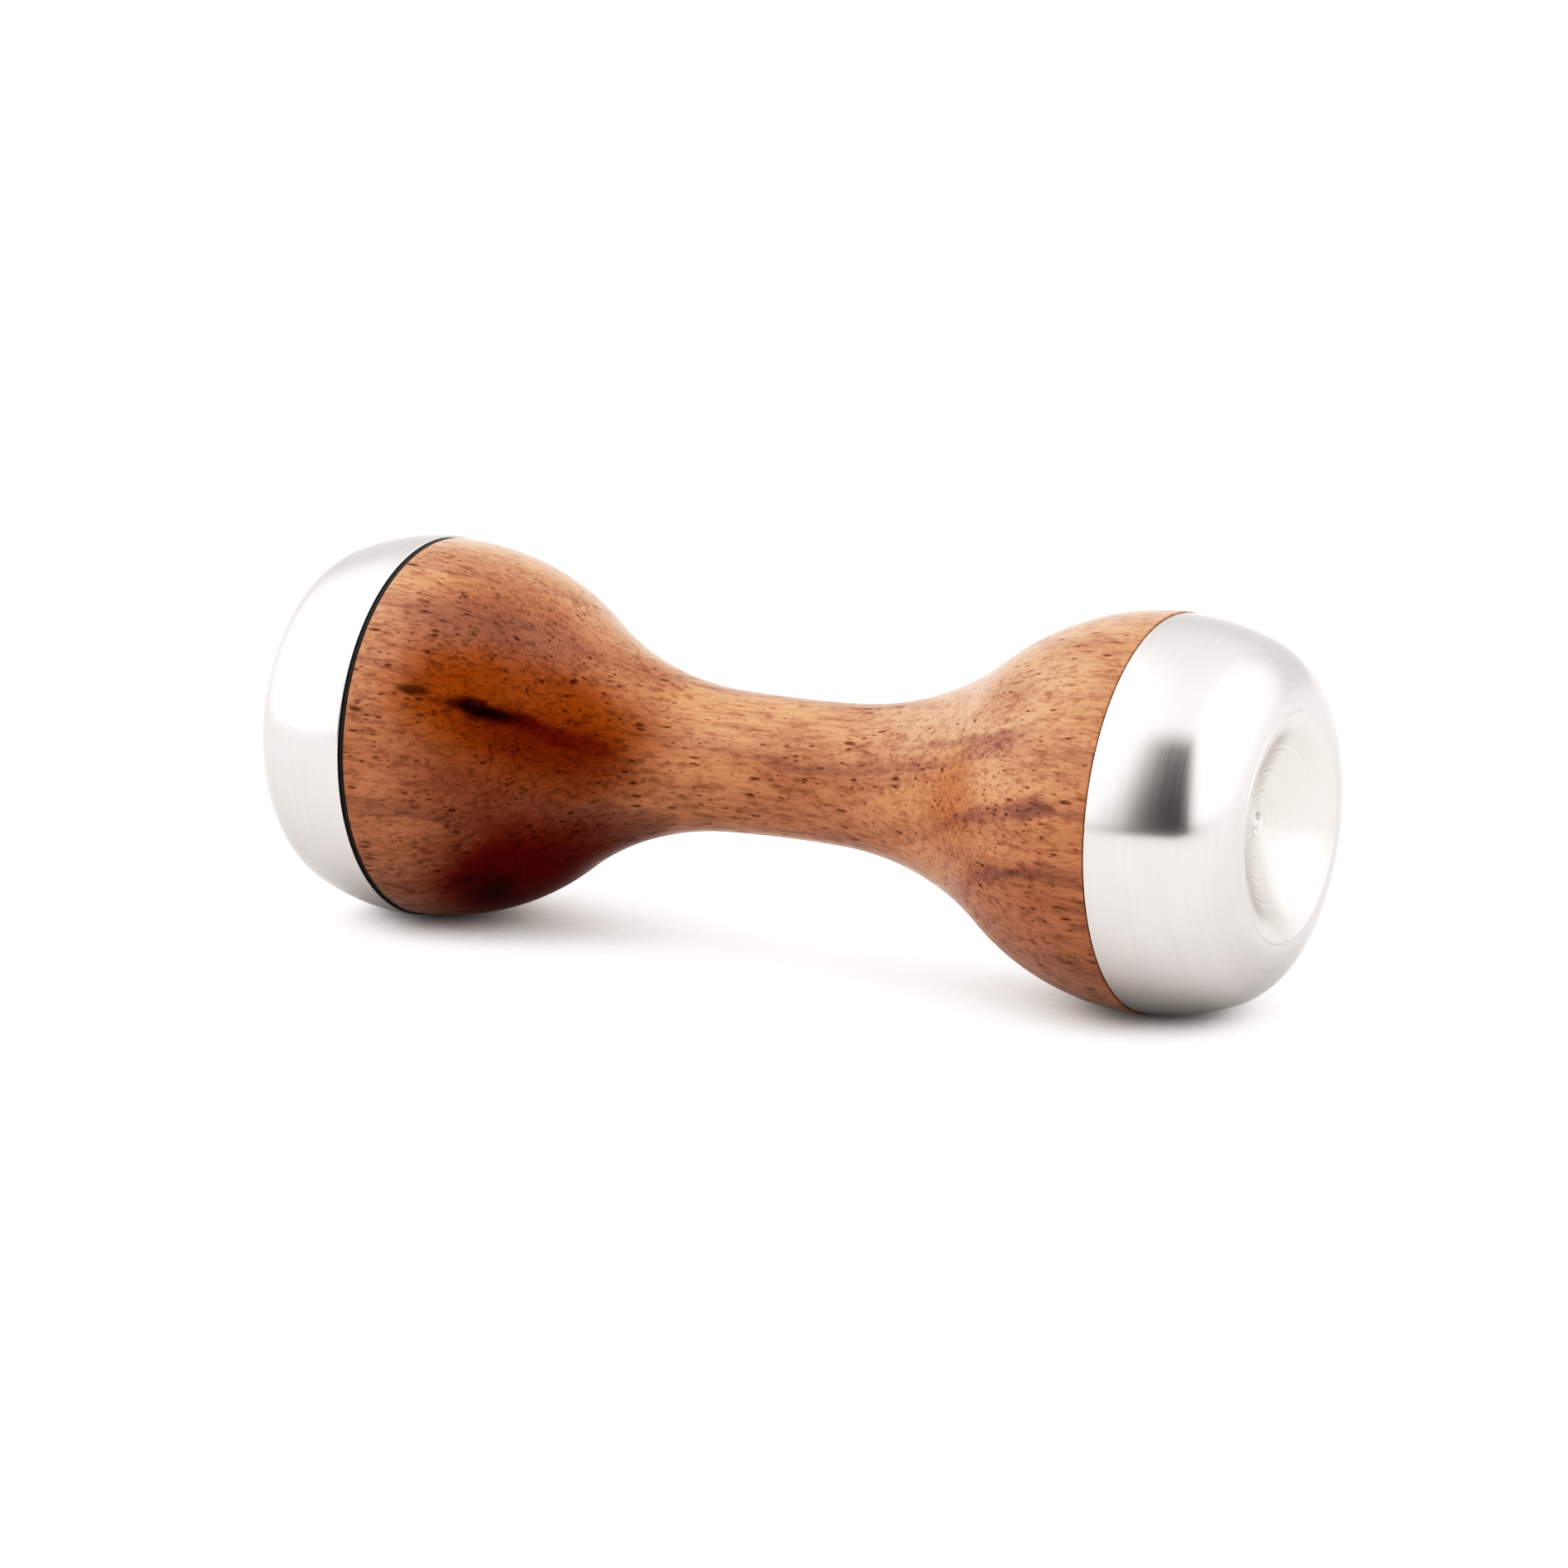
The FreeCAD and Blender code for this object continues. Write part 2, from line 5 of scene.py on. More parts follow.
import bmesh
import bpy
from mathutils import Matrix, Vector

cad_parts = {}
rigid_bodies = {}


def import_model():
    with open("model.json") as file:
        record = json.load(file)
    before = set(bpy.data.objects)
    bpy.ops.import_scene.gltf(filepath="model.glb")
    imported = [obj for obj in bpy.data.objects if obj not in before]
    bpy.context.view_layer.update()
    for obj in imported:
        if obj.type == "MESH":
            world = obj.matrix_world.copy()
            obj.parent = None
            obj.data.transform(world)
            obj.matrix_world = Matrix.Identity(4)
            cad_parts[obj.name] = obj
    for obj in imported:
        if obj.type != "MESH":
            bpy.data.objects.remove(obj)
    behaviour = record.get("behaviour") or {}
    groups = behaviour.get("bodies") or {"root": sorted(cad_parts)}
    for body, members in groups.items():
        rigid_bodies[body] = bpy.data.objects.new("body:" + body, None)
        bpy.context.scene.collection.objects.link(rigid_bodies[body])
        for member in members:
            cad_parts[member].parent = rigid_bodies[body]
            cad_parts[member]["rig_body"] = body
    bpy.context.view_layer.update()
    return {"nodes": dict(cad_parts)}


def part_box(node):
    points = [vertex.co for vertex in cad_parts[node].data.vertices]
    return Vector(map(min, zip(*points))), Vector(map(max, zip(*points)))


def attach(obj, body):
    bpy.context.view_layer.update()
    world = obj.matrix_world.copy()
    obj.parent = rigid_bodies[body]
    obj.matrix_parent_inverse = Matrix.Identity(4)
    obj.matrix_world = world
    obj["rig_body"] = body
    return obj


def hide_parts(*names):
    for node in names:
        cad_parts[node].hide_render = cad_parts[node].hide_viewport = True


# Looks of an espresso tamper lying on its side: a turned walnut handle between two satin
# steel caps. +X runs along the axis from the tamping base to the thumb cap and +Z is up.
# Lengths are in metres; the pieces' shader graphs work in millimetres. An outline is a list
# of (distance along X, radius) pairs.

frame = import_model()

MM = 0.001


# Places taken from the frame

handle_low, handle_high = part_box("wood_handle")
gasket_low, gasket_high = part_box("base_gasket")
cap_low, cap_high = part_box("thumb_cap")
cap_insert_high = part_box("cap_insert")[1]

END_RADIUS = handle_high.z
HANDLE_MIDDLE = (handle_low.x + handle_high.x) / 2
HANDLE_HALF = (handle_high.x - handle_low.x) / 2
CAP_SEAM = handle_high.x
BASE_SEAM = gasket_low.x
CAP_LENGTH = cap_high.x - CAP_SEAM
CAP_MIDDLE = (cap_low.x + cap_high.x) / 2
SPIGOT_LENGTH = CAP_SEAM - cap_low.x
RECESS_DEPTH = handle_high.x - cap_insert_high.x
FLOOR_LEVEL = -END_RADIUS


# Sizes of the handle. The wood stands a little below the steel at the base end, and the
# thumb cap a little below the wood.

NECK_RADIUS = 7.17 * MM
WAIST_RADIUS = 145 * MM
HOLLOW_RADIUS = 31.3 * MM
BULB_RADIUS = 27.2 * MM
EDGE_BREAK = 0.12 * MM
BASE_RIM_DROP = 0.22 * MM
CAP_RIM_DROP = 0.16 * MM
RECESS_RADIUS = 14 * MM
FLANGE_POCKET_RADIUS = 8.1 * MM
FLANGE_THICKNESS = 1.2 * MM
POCKET_RADIUS = 6.05 * MM
POCKET_DEPTH = 20.5 * MM

# Sizes of the two caps

CAP_SIDE_RADIUS = 22.5 * MM
CAP_CORNER_RADIUS = 7.1 * MM
SPIGOT_RADIUS = 13.8 * MM
HOLE_RADIUS = 4.08 * MM
BASE_HOLE_DEPTH = 11.2 * MM
CAP_HOLE_DEPTH = 8.2 * MM

# Sizes of the thumb cap's dish: a lip, a bevelled band, a sphere with tool rings, and in its
# centre the nib that the lathe tool left, with a ragged crater round it. The place, sway and
# width of the crater's trough are shares of its radius.

DISH_RIM_RADIUS = 11.4 * MM
DISH_LIP_HALF_WIDTH = 0.18 * MM
DISH_LIP_HEIGHT = 0.05 * MM
DISH_BAND_WIDTH = 1.4 * MM
DISH_BAND_DEPTH = 0.28 * MM
DISH_BLEND_RADIUS = 7 * MM
DISH_RADIUS = 17 * MM
TOOL_RING_PITCH = 0.7 * MM
TOOL_RING_HEIGHT = 0.016 * MM
NIB_RADIUS = 0.55 * MM
NIB_HEIGHT = 0.16 * MM
NIB_SHOULDER_RADIUS = 0.7 * NIB_RADIUS
NIB_SHOULDER_HEIGHT = 0.8 * NIB_HEIGHT
CRATER_RADIUS = 1.5 * MM
CRATER_DEPTH = 0.16 * MM
CRATER_TROUGH = 0.55
CRATER_TROUGH_SWAY = 0.1
CRATER_TROUGH_WIDTH = 0.22

# How rounded the gasket's outer edges are, as a share of half its thickness

GASKET_BEAD_SHARE = 0.3

# How finely the meshes are cut

SEGMENTS = 288
ARC_STEP = math.radians(1.5)
LIP_STEPS = 8
STEPS_PER_TOOL_RING = 8
CREASE_ANGLE = math.radians(10)


# Outlines


def arc(centre, radius, first, second):
    """Points on an arc about centre, from the direction of first to that of second."""
    start = math.atan2(first[1] - centre[1], first[0] - centre[0])
    sweep = math.atan2(second[1] - centre[1], second[0] - centre[0]) - start
    sweep = (sweep + math.pi) % (2 * math.pi) - math.pi
    count = max(3, math.ceil(abs(sweep) / ARC_STEP))
    turns = [start + sweep * step / count for step in range(count + 1)]
    return [(centre[0] + radius * math.cos(turn), centre[1] + radius * math.sin(turn))
            for turn in turns]


def flat_arc(centre, radius, first, second):
    """Points on the axis side of a wide circle, as close together as on the hollow beside it."""
    count = max(3, math.ceil(math.dist(first, second) / (HOLLOW_RADIUS * ARC_STEP)))
    points = []
    for step in range(count + 1):
        along = first[0] + (second[0] - first[0]) * step / count
        drop = math.sqrt(radius ** 2 - (along - centre[0]) ** 2)
        points.append((along, centre[1] - drop))
    return points


def toward(first, second, distance):
    """The point at that distance from first on the way to second."""
    gap = math.dist(first, second)
    return (first[0] + (second[0] - first[0]) * distance / gap,
            first[1] + (second[1] - first[1]) * distance / gap)


def meeting_point(first, first_radius, second, second_radius):
    """Where two circles meet, on the right of the line from the first centre to the second."""
    gap = math.dist(first, second)
    along = (gap ** 2 + first_radius ** 2 - second_radius ** 2) / (2 * gap)
    across = math.sqrt(first_radius ** 2 - along ** 2)
    dx, dr = (second[0] - first[0]) / gap, (second[1] - first[1]) / gap
    return first[0] + dx * along + dr * across, first[1] + dr * along - dx * across


def handle_half_outline(rim_drop):
    """From the middle of the neck to the rim, then into the recess and the insert's pocket.

    The outside is three tangent arcs: the waist, the hollow and the bulb. The rim lies
    rim_drop below the full radius.
    """
    rim = END_RADIUS - rim_drop
    shoulder = HANDLE_HALF - EDGE_BREAK
    waist = (0, NECK_RADIUS + WAIST_RADIUS)
    bulb = (shoulder, rim - BULB_RADIUS)
    hollow = meeting_point(waist, WAIST_RADIUS - HOLLOW_RADIUS, bulb, BULB_RADIUS + HOLLOW_RADIUS)
    waist_end = toward(waist, hollow, WAIST_RADIUS)
    bulb_start = toward(hollow, bulb, HOLLOW_RADIUS)
    edge = (shoulder, rim - EDGE_BREAK)
    points = flat_arc(waist, WAIST_RADIUS, (0, NECK_RADIUS), waist_end)
    points += arc(hollow, HOLLOW_RADIUS, waist_end, bulb_start)[1:]
    points += arc(bulb, BULB_RADIUS, bulb_start, (shoulder, rim))[1:]
    points += arc(edge, EDGE_BREAK, (shoulder, rim), (HANDLE_HALF, edge[1]))[1:]
    seat = HANDLE_HALF - RECESS_DEPTH
    points += [
        (HANDLE_HALF, RECESS_RADIUS),
        (seat, RECESS_RADIUS),
        (seat, FLANGE_POCKET_RADIUS),
        (seat - FLANGE_THICKNESS, FLANGE_POCKET_RADIUS),
        (seat - FLANGE_THICKNESS, POCKET_RADIUS),
        (HANDLE_HALF - POCKET_DEPTH, POCKET_RADIUS),
        (HANDLE_HALF - POCKET_DEPTH, 0),
    ]
    return points


def handle_outline():
    """Both halves, from the base's end to the thumb's."""
    base_half = handle_half_outline(BASE_RIM_DROP)
    mirrored = [(-along, radius) for along, radius in reversed(base_half[1:])]
    whole = mirrored + handle_half_outline(0)
    return [(HANDLE_MIDDLE + along, radius) for along, radius in whole]


def cap_body_outline(hole_depth, rim_drop):
    """From the bottom of the stud's hole round the spigot, seam and corner to the end face.

    Distances run from the seam outward. The rim lies rim_drop below the full radius.
    """
    rim = END_RADIUS - rim_drop
    mouth = -SPIGOT_LENGTH
    shoulder = EDGE_BREAK
    side = (shoulder, rim - CAP_SIDE_RADIUS)
    corner_along = CAP_LENGTH - CAP_CORNER_RADIUS
    corner_gap = CAP_SIDE_RADIUS - CAP_CORNER_RADIUS
    rise = math.sqrt(corner_gap ** 2 - (corner_along - shoulder) ** 2)
    corner = (corner_along, side[1] + rise)
    corner_start = toward(side, corner, CAP_SIDE_RADIUS)
    edge = (shoulder, rim - EDGE_BREAK)
    points = [
        (mouth + hole_depth, 0),
        (mouth + hole_depth, HOLE_RADIUS),
        (mouth, HOLE_RADIUS),
        (mouth, SPIGOT_RADIUS),
        (0, SPIGOT_RADIUS),
    ]
    points += arc(edge, EDGE_BREAK, (0, edge[1]), (shoulder, rim))
    points += arc(side, CAP_SIDE_RADIUS, (shoulder, rim), corner_start)[1:]
    points += arc(corner, CAP_CORNER_RADIUS, corner_start, (CAP_LENGTH, corner[1]))[1:]
    return points


def base_outline():
    """The tamping base: the cap's body with a flat end face."""
    points = cap_body_outline(BASE_HOLE_DEPTH, 0) + [(CAP_LENGTH, 0)]
    return [(BASE_SEAM - along, radius) for along, radius in points]


def dish_lip(slope):
    """A low rounded ridge along the rim, from the end face outside it to the bevel inside it."""
    points = []
    for step in range(LIP_STEPS + 1):
        side = 1 - 2 * step / LIP_STEPS
        lift = DISH_LIP_HEIGHT * (1 + math.cos(math.pi * side)) / 2
        radius = DISH_RIM_RADIUS + DISH_LIP_HALF_WIDTH * side
        drop = max(0, DISH_RIM_RADIUS - radius) * math.tan(slope)
        points.append((CAP_LENGTH + lift - drop, radius))
    return points


def dish_blend(centre, slope):
    """The arc that rounds the bevelled band over into the sphere about centre on the axis.

    Its own centre lies its radius below the bevel's line, and as far outside the sphere.
    """
    reach = DISH_RADIUS + DISH_BLEND_RADIUS
    foot = (CAP_LENGTH - DISH_BLEND_RADIUS * math.cos(slope),
            DISH_RIM_RADIUS + DISH_BLEND_RADIUS * math.sin(slope))
    run = (-math.sin(slope), -math.cos(slope))
    apart = (foot[0] - centre, foot[1])
    half = run[0] * apart[0] + run[1] * apart[1]
    along = -half - math.sqrt(half ** 2 - apart[0] ** 2 - apart[1] ** 2 + reach ** 2)
    blend = (foot[0] + run[0] * along, foot[1] + run[1] * along)
    bevel_end = (CAP_LENGTH + run[0] * along, DISH_RIM_RADIUS + run[1] * along)
    return arc(blend, DISH_BLEND_RADIUS, bevel_end, toward((centre, 0), blend, DISH_RADIUS))


def dish_floor(centre, edge_radius):
    """The sphere from its edge to the nib, with tool rings that swell and fade, and the nib."""
    points = []
    steps = math.ceil(edge_radius / TOOL_RING_PITCH * STEPS_PER_TOOL_RING)
    for step in range(1, steps + 1):
        radius = edge_radius + (NIB_RADIUS - edge_radius) * step / steps
        turns = radius / TOOL_RING_PITCH
        ring = TOOL_RING_HEIGHT * math.cos(2 * math.pi * turns) * math.sin(turns) ** 2
        points.append((centre - math.sqrt(DISH_RADIUS ** 2 - radius ** 2) + ring, radius))
    nib_foot = points[-1][0]
    points += [(nib_foot + NIB_SHOULDER_HEIGHT, NIB_SHOULDER_RADIUS), (nib_foot + NIB_HEIGHT, 0)]
    return points


def thumb_cap_outline():
    """The thumb cap: the cap's body, then the dish."""
    bevel_foot = (CAP_LENGTH - DISH_BAND_DEPTH, DISH_RIM_RADIUS - DISH_BAND_WIDTH)
    centre = bevel_foot[0] + math.sqrt(DISH_RADIUS ** 2 - bevel_foot[1] ** 2)
    slope = math.atan2(DISH_BAND_DEPTH, DISH_BAND_WIDTH)
    points = cap_body_outline(CAP_HOLE_DEPTH, CAP_RIM_DROP)
    points += dish_lip(slope)
    points += dish_blend(centre, slope)
    points += dish_floor(centre, edge_radius=points[-1][1])
    return [(CAP_SEAM + along, radius) for along, radius in points]


def gasket_outline():
    """A flat ring with rounded outer edges."""
    outer = gasket_high.z
    bead = (gasket_high.x - gasket_low.x) / 2 * GASKET_BEAD_SHARE
    left, right = gasket_low.x + bead, gasket_high.x - bead
    points = [(gasket_low.x, RECESS_RADIUS)]
    points += arc((left, outer - bead), bead, (gasket_low.x, outer - bead), (left, outer))
    points += arc((right, outer - bead), bead, (right, outer), (gasket_high.x, outer - bead))
    points += [(gasket_high.x, RECESS_RADIUS)]
    return points


# Lathe


def lathe(name, outline, ring=False):
    """Turn an outline about the X axis into a smooth closed mesh with crisp creases.

    An outline starts and ends on the axis, except a ring's, whose ends are joined.
    """
    vertices, circles = [], []
    for along, radius in outline:
        if radius == 0:
            circles.append([len(vertices)] * SEGMENTS)
            vertices.append((along, 0, 0))
            continue
        circles.append(list(range(len(vertices), len(vertices) + SEGMENTS)))
        for segment in range(SEGMENTS):
            angle = 2 * math.pi * segment / SEGMENTS
            vertices.append((along, radius * math.sin(angle), radius * math.cos(angle)))
    pairs = list(zip(circles, circles[1:]))
    if ring:
        pairs.append((circles[-1], circles[0]))
    faces = []
    for circle, next_circle in pairs:
        for segment in range(SEGMENTS):
            after = (segment + 1) % SEGMENTS
            corners = [circle[segment], next_circle[segment], next_circle[after], circle[after]]
            faces.append(list(dict.fromkeys(corners)))
    mesh = bpy.data.meshes.new(name)
    mesh.from_pydata(vertices, [], faces)
    mesh.validate()
    mesh.polygons.foreach_set("use_smooth", [True] * len(mesh.polygons))
    mesh.set_sharp_from_angle(angle=CREASE_ANGLE)
    face_outward(mesh)
    piece = bpy.data.objects.new(name, mesh)
    bpy.context.scene.collection.objects.link(piece)
    bpy.context.view_layer.update()
    return piece


def face_outward(mesh):
    """Make every face look out of the solid."""
    shape = bmesh.new()
    shape.from_mesh(mesh)
    bmesh.ops.recalc_face_normals(shape, faces=shape.faces)
    shape.to_mesh(mesh)
    shape.free()


def cut_crater(cap):
    """Leave a ragged little crater round the dish's nib, where the tool was lifted."""
    for vertex in cap.data.vertices:
        radius = math.hypot(vertex.co.y, vertex.co.z)
        if radius < CRATER_RADIUS and vertex.co.x > CAP_MIDDLE:
            turn = math.atan2(vertex.co.z, vertex.co.y)
            # Deeper on two sides, with a finer waver on top
            ragged = 0.45 + 0.4 * math.sin(2 * turn + 0.6) + 0.15 * math.sin(5 * turn)
            trough = CRATER_TROUGH + CRATER_TROUGH_SWAY * math.sin(3 * turn)
            place = (radius / CRATER_RADIUS - trough) / CRATER_TROUGH_WIDTH
            vertex.co.x -= CRATER_DEPTH * ragged * math.exp(-place ** 2)


# Shader graphs


class Graph:
    """A short way to write node graphs: a method adds a node and returns its output."""

    def __init__(self, tree):
        self.tree = tree

    def node(self, kind, settings=None, inputs=None, output=0):
        node = self.tree.nodes.new(kind)
        for key, value in (settings or {}).items():
            setattr(node, key, value)
        for key, value in (inputs or {}).items():
            self.plug(value, node.inputs[key])
        return node.outputs[output]

    def plug(self, value, socket):
        """Link an output to a socket, or set the socket to a plain value."""
        if isinstance(value, bpy.types.NodeSocket):
            self.tree.links.new(value, socket)
        else:
            socket.default_value = value

    def math(self, operation, first, second=0.0, third=0.0):
        return self.node("ShaderNodeMath", {"operation": operation},
                         {0: first, 1: second, 2: third})

    def times(self, first, second):
        return self.math("MULTIPLY", first, second)

    def vector(self, operation, first, second=(0, 0, 0), output=0):
        return self.node("ShaderNodeVectorMath", {"operation": operation},
                         {0: first, 1: second}, output)

    def dot(self, first, second):
        return self.vector("DOT_PRODUCT", first, second, output=1)

    def length(self, x, y, z=0.0):
        return self.vector("LENGTH", self.join(x, y, z), output=1)

    def scaled(self, vector, x, y, z):
        return self.vector("MULTIPLY", vector, (x, y, z))

    def squeezed(self, point, share):
        """The point with its X shrunk, so that a pattern drawn on it stretches along X."""
        return self.scaled(point, share, 1, 1)

    def join(self, x, y, z):
        return self.node("ShaderNodeCombineXYZ", inputs={0: x, 1: y, 2: z})

    def split(self, vector):
        """A vector's three parts."""
        node = self.tree.nodes.new("ShaderNodeSeparateXYZ")
        self.plug(vector, node.inputs[0])
        return list(node.outputs)

    def noise(self, vector, scale, detail=2.0, roughness=0.5, output=0):
        inputs = {"Vector": vector, "Scale": scale, "Detail": detail, "Roughness": roughness}
        return self.node("ShaderNodeTexNoise", inputs=inputs, output=output)

    def cells(self, vector, scale, output=0):
        """Distance to the nearest cell's centre, or with output 1 that cell's random colour."""
        inputs = {"Vector": vector, "Scale": scale}
        return self.node("ShaderNodeTexVoronoi", {"feature": "F1"}, inputs, output)

    def ramp(self, value, low, high, to_low=0.0, to_high=1.0):
        """A smooth step from to_low to to_high as value goes from low to high."""
        settings = {"interpolation_type": "SMOOTHSTEP"}
        inputs = {0: value, 1: low, 2: high, 3: to_low, 4: to_high}
        return self.node("ShaderNodeMapRange", settings, inputs)

    def mix(self, amount, first, second):
        """Go from the first colour to the second as amount goes from 0 to 1."""
        node = self.tree.nodes.new("ShaderNodeMix")
        node.data_type = "RGBA"
        self.plug(amount, node.inputs["Factor"])
        self.plug(first, node.inputs[6])
        self.plug(second, node.inputs[7])
        return node.outputs[2]

    def bump(self, height, distance, strength):
        inputs = {"Height": height, "Distance": distance, "Strength": strength}
        return self.node("ShaderNodeBump", inputs=inputs)


def new_material(name):
    """An empty material: its graph, and its shader node to plug into."""
    material = bpy.data.materials.new(name)
    material.use_nodes = True
    tree = material.node_tree
    return material, Graph(tree), tree.nodes["Principled BSDF"]


def position(graph):
    """The point on the piece at rest, in metres."""
    return graph.node("ShaderNodeTexCoord", output=3)


def position_mm(graph):
    """The point on the piece at rest, in millimetres."""
    return graph.scaled(position(graph), 1000, 1000, 1000)


def srgb(red, green, blue):
    """A colour given as it looks on a screen, 0 to 255, as shader values."""
    def linear(level):
        share = level / 255
        return share / 12.92 if share <= 0.04045 else ((share + 0.055) / 1.055) ** 2.4
    return linear(red), linear(green), linear(blue), 1.0


# Walnut. The growth layers are nearly flat sheets that run along X. A point's depth is its
# distance across them in millimetres; marks in the wood are placed by X and by that depth.
# The layers waver a little near by, which bends the marks, and more over a long way, which
# bends the growth lines too.

SHEET_NORMAL = (0.0, 0.53, 0.848)
NEAR_WAVER = 3.0
FAR_WAVER = 9.0
GROWTH_LINES_PER_MM = 0.155
GROWTH_LINE_START = 0.17

TAN = srgb(134, 92, 61)
BROWN = srgb(108, 68, 42)
DARK_BROWN = srgb(90, 50, 32)
AMBER = srgb(98, 48, 3)
PURPLE_BROWN = srgb(84, 53, 46)
RED_BROWN = srgb(82, 38, 24)
DEEP_RED = srgb(66, 5, 2)
CHOCOLATE = srgb(22, 2, 0)
WHITE = (1.0, 1.0, 1.0, 1.0)
PORE_TINT = (0.20, 0.12, 0.11, 1.0)
GRAIN_TINT = (0.56, 0.50, 0.50, 1.0)

CLOUD_STRENGTH = 0.6
BAND_STRENGTH = 0.5
# How dark the painted shade toward the bottom of the wood grows
UNDERSIDE_SHADE_STRENGTH = 0.55
FIBRE_STRENGTH = 0.45
STREAK_STRENGTH = 0.5
FLECK_STRENGTH = 0.6
SMALL_PORE_STRENGTH = 0.62
BIG_PORE_STRENGTH = 0.75

# A mark has a centre and a reach, both as (along X, across the layers), a strength from 0 to
# 1 and a colour. It climbs by its tilt through the layers as it runs along X. It is full
# inside its core, a share of its reach, and fades from there to nothing at its reach.

Mark = namedtuple("Mark", "centre reach strength colour tilt core", defaults=(0.0, 0.25))

MARKS = (
    # Brown tone over the bulb at the base end
    Mark((-26, 1.0), (19, 15), 0.5, DARK_BROWN, core=0.3),
    # Painted shade along the underside of the neck, in dark brown
    Mark((2, -7.5), (20, 5.0), 0.22, DARK_BROWN),
    # Purple-brown above the bulb's heartwood, red-brown below it, and the amber heartwood
    Mark((-31, 6.2), (14, 5.0), 0.5, PURPLE_BROWN),
    Mark((-25, -10.5), (16, 6.5), 0.75, RED_BROWN),
    Mark((-25, -2.2), (16, 8.2), 0.92, AMBER, core=0.45),
    Mark((-17, -9.0), (8, 1.6), 0.5, PURPLE_BROWN, tilt=0.2),
    # Dark red through the amber, and deep red with a dark core along the bottom
    Mark((-22, -4.4), (12, 4.4), 0.55, DEEP_RED),
    Mark((-23, -3.2), (11, 1.3), 0.5, DEEP_RED, tilt=-0.04),
    Mark((-25, -16.6), (17, 6.4), 1.0, DEEP_RED, tilt=0.42, core=0.4),
    Mark((-27.5, -18.0), (7, 2.4), 1.0, CHOCOLATE, tilt=0.15),
    # The two dark spots in the amber
    Mark((-27.6, -3.0), (5.5, 1.4), 0.97, CHOCOLATE),
    Mark((-34.6, -1.9), (2.6, 0.8), 0.7, CHOCOLATE),
    # Streaks and spots in the other bulb
    Mark((27, 0.5), (17, 0.9), 0.45, PURPLE_BROWN),
    Mark((30, -0.4), (6, 1.5), 0.6, PURPLE_BROWN),
    Mark((31, -7.4), (16, 0.9), 0.5, PURPLE_BROWN),
    Mark((36, -7.0), (3.5, 1.4), 0.6, PURPLE_BROWN),
    Mark((33, -12.5), (12, 0.9), 0.45, PURPLE_BROWN),
)

# Two sizes of pore, one to a cell: how far X is squeezed, which stretches the cells along the
# grain, how many cells a millimetre holds, and the widest pore as a share of its cell

PoreLayer = namedtuple("PoreLayer", "squeeze cells_per_mm widest")

BIG_PORES = PoreLayer(0.26, 1.15, 0.36)
SMALL_PORES = PoreLayer(0.36, 2.0, 0.42)


def mark_share(graph, along, depth, mark):
    """How far a point is inside a mark: 1 in its core and 0 past its reach."""
    away = graph.math("MULTIPLY_ADD", along, 1 / mark.reach[0], -mark.centre[0] / mark.reach[0])
    start = mark.centre[1] - mark.tilt * mark.centre[0]
    level = graph.math("MULTIPLY_ADD", along, mark.tilt, start)
    across = graph.times(graph.math("SUBTRACT", depth, level), 1 / mark.reach[1])
    return graph.ramp(graph.length(away, across), 1.0, mark.core)


def walnut_pores(graph, point, layer):
    """Open vessels: dashes where the surface runs along the grain, dots where it cuts it."""
    sway = graph.noise(graph.squeezed(point, 0.12), 1.1, 1.0, output=1)
    bent = graph.vector("ADD", point, graph.scaled(sway, 0.0, 0.5, 0.5))
    crowd = graph.noise(graph.squeezed(point, 0.2), 0.4, 2.0)
    cell = graph.squeezed(bent, layer.squeeze)
    luck = graph.split(graph.cells(cell, layer.cells_per_mm, output=1))[0]
    size = graph.times(graph.ramp(luck, 0.15, 1.0, 0.0, layer.widest),
                       graph.ramp(crowd, 0.35, 0.6, 0.6, 1.0))
    return graph.ramp(graph.cells(cell, layer.cells_per_mm), size, graph.times(size, 0.3))


def walnut_figure(graph, point):
    """The wood's colour before its fibres and pores, with painted shade toward the bottom."""
    along = graph.split(point)[0]
    slow = graph.noise(graph.squeezed(point, 0.5), 0.05, 2.0)
    waver = graph.noise(graph.squeezed(point, 0.3), 0.3, 3.0, 0.55)
    depth = graph.dot(point, SHEET_NORMAL)
    near = graph.math("MULTIPLY_ADD", graph.math("SUBTRACT", waver, 0.5), NEAR_WAVER, depth)
    far = graph.math("MULTIPLY_ADD", graph.math("SUBTRACT", slow, 0.5), FAR_WAVER, near)

    # Ground: tan in soft clouds, browner layer by layer, and painted shade that darkens it toward
    # the bottom
    clouds = graph.noise(graph.squeezed(point, 0.35), 0.16, 3.0, 0.55)
    colour = graph.mix(graph.ramp(clouds, 0.36, 0.68, 0.0, CLOUD_STRENGTH), TAN, BROWN)
    layer = graph.join(graph.times(along, 0.02), graph.times(far, 0.28), 0.0)
    bands = graph.noise(layer, 1.0, 2.0)
    colour = graph.mix(graph.ramp(bands, 0.48, 0.72, 0.0, BAND_STRENGTH), colour, BROWN)
    underside_shade = graph.ramp(near, -5.0, -19.0, 0.0, UNDERSIDE_SHADE_STRENGTH)
    colour = graph.mix(underside_shade, colour, DARK_BROWN)

    # Growth lines: thin, dark on one side and fading on the other
    phase = graph.math("MULTIPLY_ADD", far, GROWTH_LINES_PER_MM, GROWTH_LINE_START)
    phase = graph.math("FRACT", phase)
    line = graph.times(graph.ramp(phase, 0.0, 0.04), graph.ramp(phase, 0.34, 0.04))
    patches = graph.noise(graph.squeezed(point, 0.3), 0.12, 2.0)
    line = graph.times(line, graph.ramp(patches, 0.35, 0.65, 0.1, 0.45))
    colour = graph.mix(line, colour, PURPLE_BROWN)

    for mark in MARKS:
        share = graph.times(mark_share(graph, along, near, mark), mark.strength)
        colour = graph.mix(share, colour, mark.colour)
    return colour


